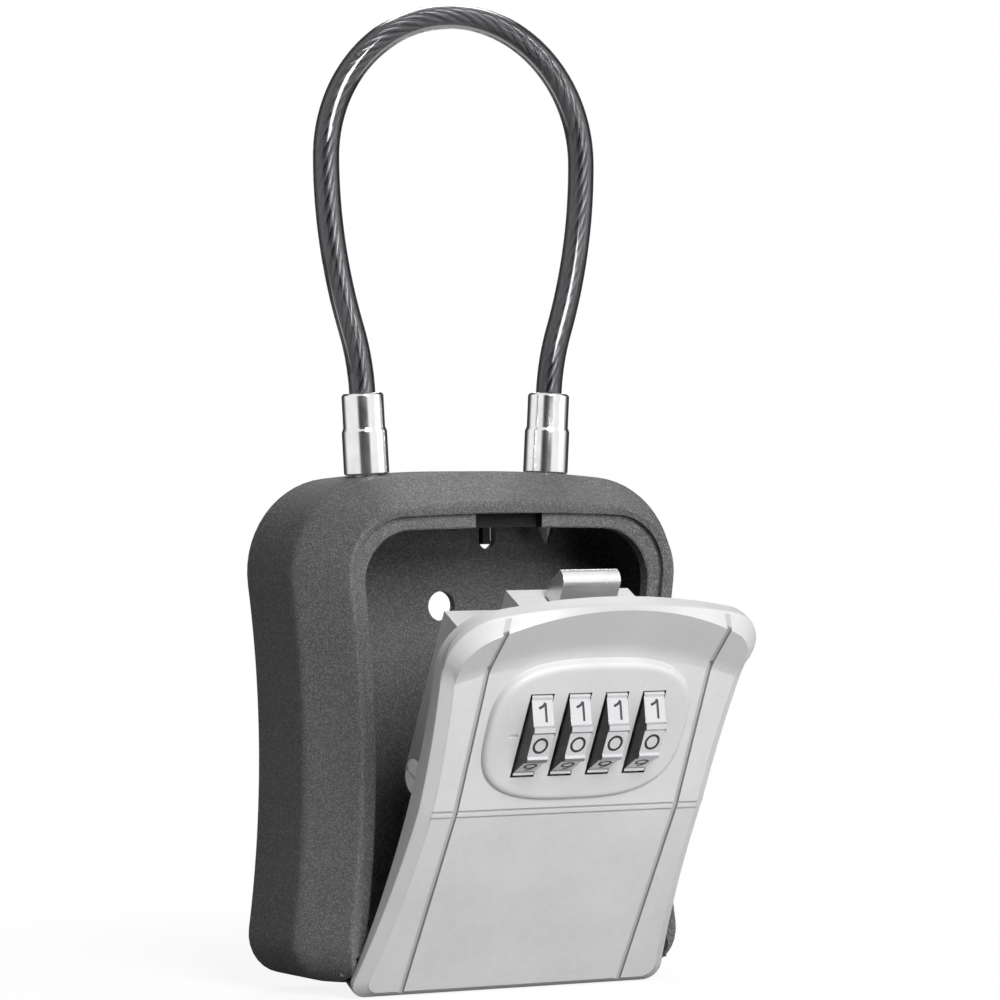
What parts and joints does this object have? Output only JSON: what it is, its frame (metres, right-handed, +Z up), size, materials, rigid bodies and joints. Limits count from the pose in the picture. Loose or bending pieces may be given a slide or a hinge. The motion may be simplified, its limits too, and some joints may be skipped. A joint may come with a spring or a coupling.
{
  "type": "portable lock box",
  "caption": "Portable key lock box with drop-down door, digit dials, spring latch and a cable shackle.",
  "frame": {"origin": "middle of the two wall-screw holes, on the back face", "axes": "+Z up towards the shackle, -Y out of the front, +X to the right seen from the front"},
  "size_m": [0.1018, 0.0907, 0.2324],
  "materials": {
    "housing_paint": "dark charcoal powder coat, fine grain",
    "door_paint": "light grey satin paint on cast metal",
    "case_paint": "light grey satin paint",
    "black_plastic": "moulded, matt",
    "chrome": "polished, lightly satin",
    "dial_chrome": "bright plated",
    "steel": "zinc plated",
    "brass": "turned",
    "steel_strand": "twisted wire",
    "sheath_vinyl": "smoked see-through vinyl"
  },
  "bodies": {
    "housing": {"housing": "housing_paint", "hinge_pins": "steel", "ferrule_left": "chrome", "ferrule_right": "chrome", "stem_left": "steel", "stem_right": "steel", "stem_clip": "steel", "cable_core": "steel_strand", "cable_sheath": "sheath_vinyl"},
    "catch": {"shackle_catch": "black_plastic"},
    "door": {"door_cover": "door_paint", "lock_case": "case_paint", "back_plate": "case_paint", "case_screws": "steel", "dial_spindle": "steel", "spindle_clip": "steel", "spindle_bushes": "steel", "detent_spring": "steel", "latch_springs": "steel"},
    "latch": {"latch_bolt": "chrome", "lock_slide": "steel", "slide_rivets": "steel"},
    "reset": {"reset_button": "steel", "shift_comb": "steel"},
    "dial_1": {"dial_1": "dial_chrome"},
    "sleeve_1": {"clutch_sleeve_1": "brass"},
    "dial_2": {"dial_2": "dial_chrome"},
    "sleeve_2": {"clutch_sleeve_2": "brass"},
    "dial_3": {"dial_3": "dial_chrome"},
    "sleeve_3": {"clutch_sleeve_3": "brass"},
    "dial_4": {"dial_4": "dial_chrome"},
    "sleeve_4": {"clutch_sleeve_4": "brass"}
  },
  "joints": [
    {"name": "door_hinge", "type": "hinge", "parent": "housing", "child": "door", "pos_m": [0, -0.0285, -0.0517], "axis": [1, 0, 0], "range_deg": [-28, 0]},
    {"name": "latch_slide", "type": "slide", "parent": "door", "child": "latch", "axis": [0, -0.4695, 0.8829], "range_m": [-0.0026, 0], "stiffness_N_per_m": 400, "springref_m": 0.004, "deforming": ["latch_springs"]},
    {"name": "reset_slide", "type": "slide", "parent": "door", "child": "reset", "axis": [1, 0, 0], "range_m": [0, 0.0017]},
    {"name": "catch_slide", "type": "slide", "parent": "housing", "child": "catch", "axis": [1, 0, 0], "range_m": [0, 0.002]},
    {"name": "dial_1_turn", "type": "hinge", "parent": "door", "child": "dial_1", "pos_m": [-0.01455, -0.06611, 0.00328], "axis": [1, 0, 0], "continuous": true},
    {"name": "dial_2_turn", "type": "hinge", "parent": "door", "child": "dial_2", "pos_m": [-0.00485, -0.06611, 0.00328], "axis": [1, 0, 0], "continuous": true},
    {"name": "dial_3_turn", "type": "hinge", "parent": "door", "child": "dial_3", "pos_m": [0.00485, -0.06611, 0.00328], "axis": [1, 0, 0], "continuous": true},
    {"name": "dial_4_turn", "type": "hinge", "parent": "door", "child": "dial_4", "pos_m": [0.01455, -0.06611, 0.00328], "axis": [1, 0, 0], "continuous": true},
    {"name": "sleeve_1_shift", "type": "slide", "parent": "dial_1", "child": "sleeve_1", "axis": [1, 0, 0], "range_m": [0, 0.0017]},
    {"name": "sleeve_2_shift", "type": "slide", "parent": "dial_2", "child": "sleeve_2", "axis": [1, 0, 0], "range_m": [0, 0.0017]},
    {"name": "sleeve_3_shift", "type": "slide", "parent": "dial_3", "child": "sleeve_3", "axis": [1, 0, 0], "range_m": [0, 0.0017]},
    {"name": "sleeve_4_shift", "type": "slide", "parent": "dial_4", "child": "sleeve_4", "axis": [1, 0, 0], "range_m": [0, 0.0017]}
  ],
  "couplings": [
    {"joint": "sleeve_1_shift", "follows": "reset_slide", "ratio": 1},
    {"joint": "sleeve_2_shift", "follows": "reset_slide", "ratio": 1},
    {"joint": "sleeve_3_shift", "follows": "reset_slide", "ratio": 1},
    {"joint": "sleeve_4_shift", "follows": "reset_slide", "ratio": 1}
  ]
}
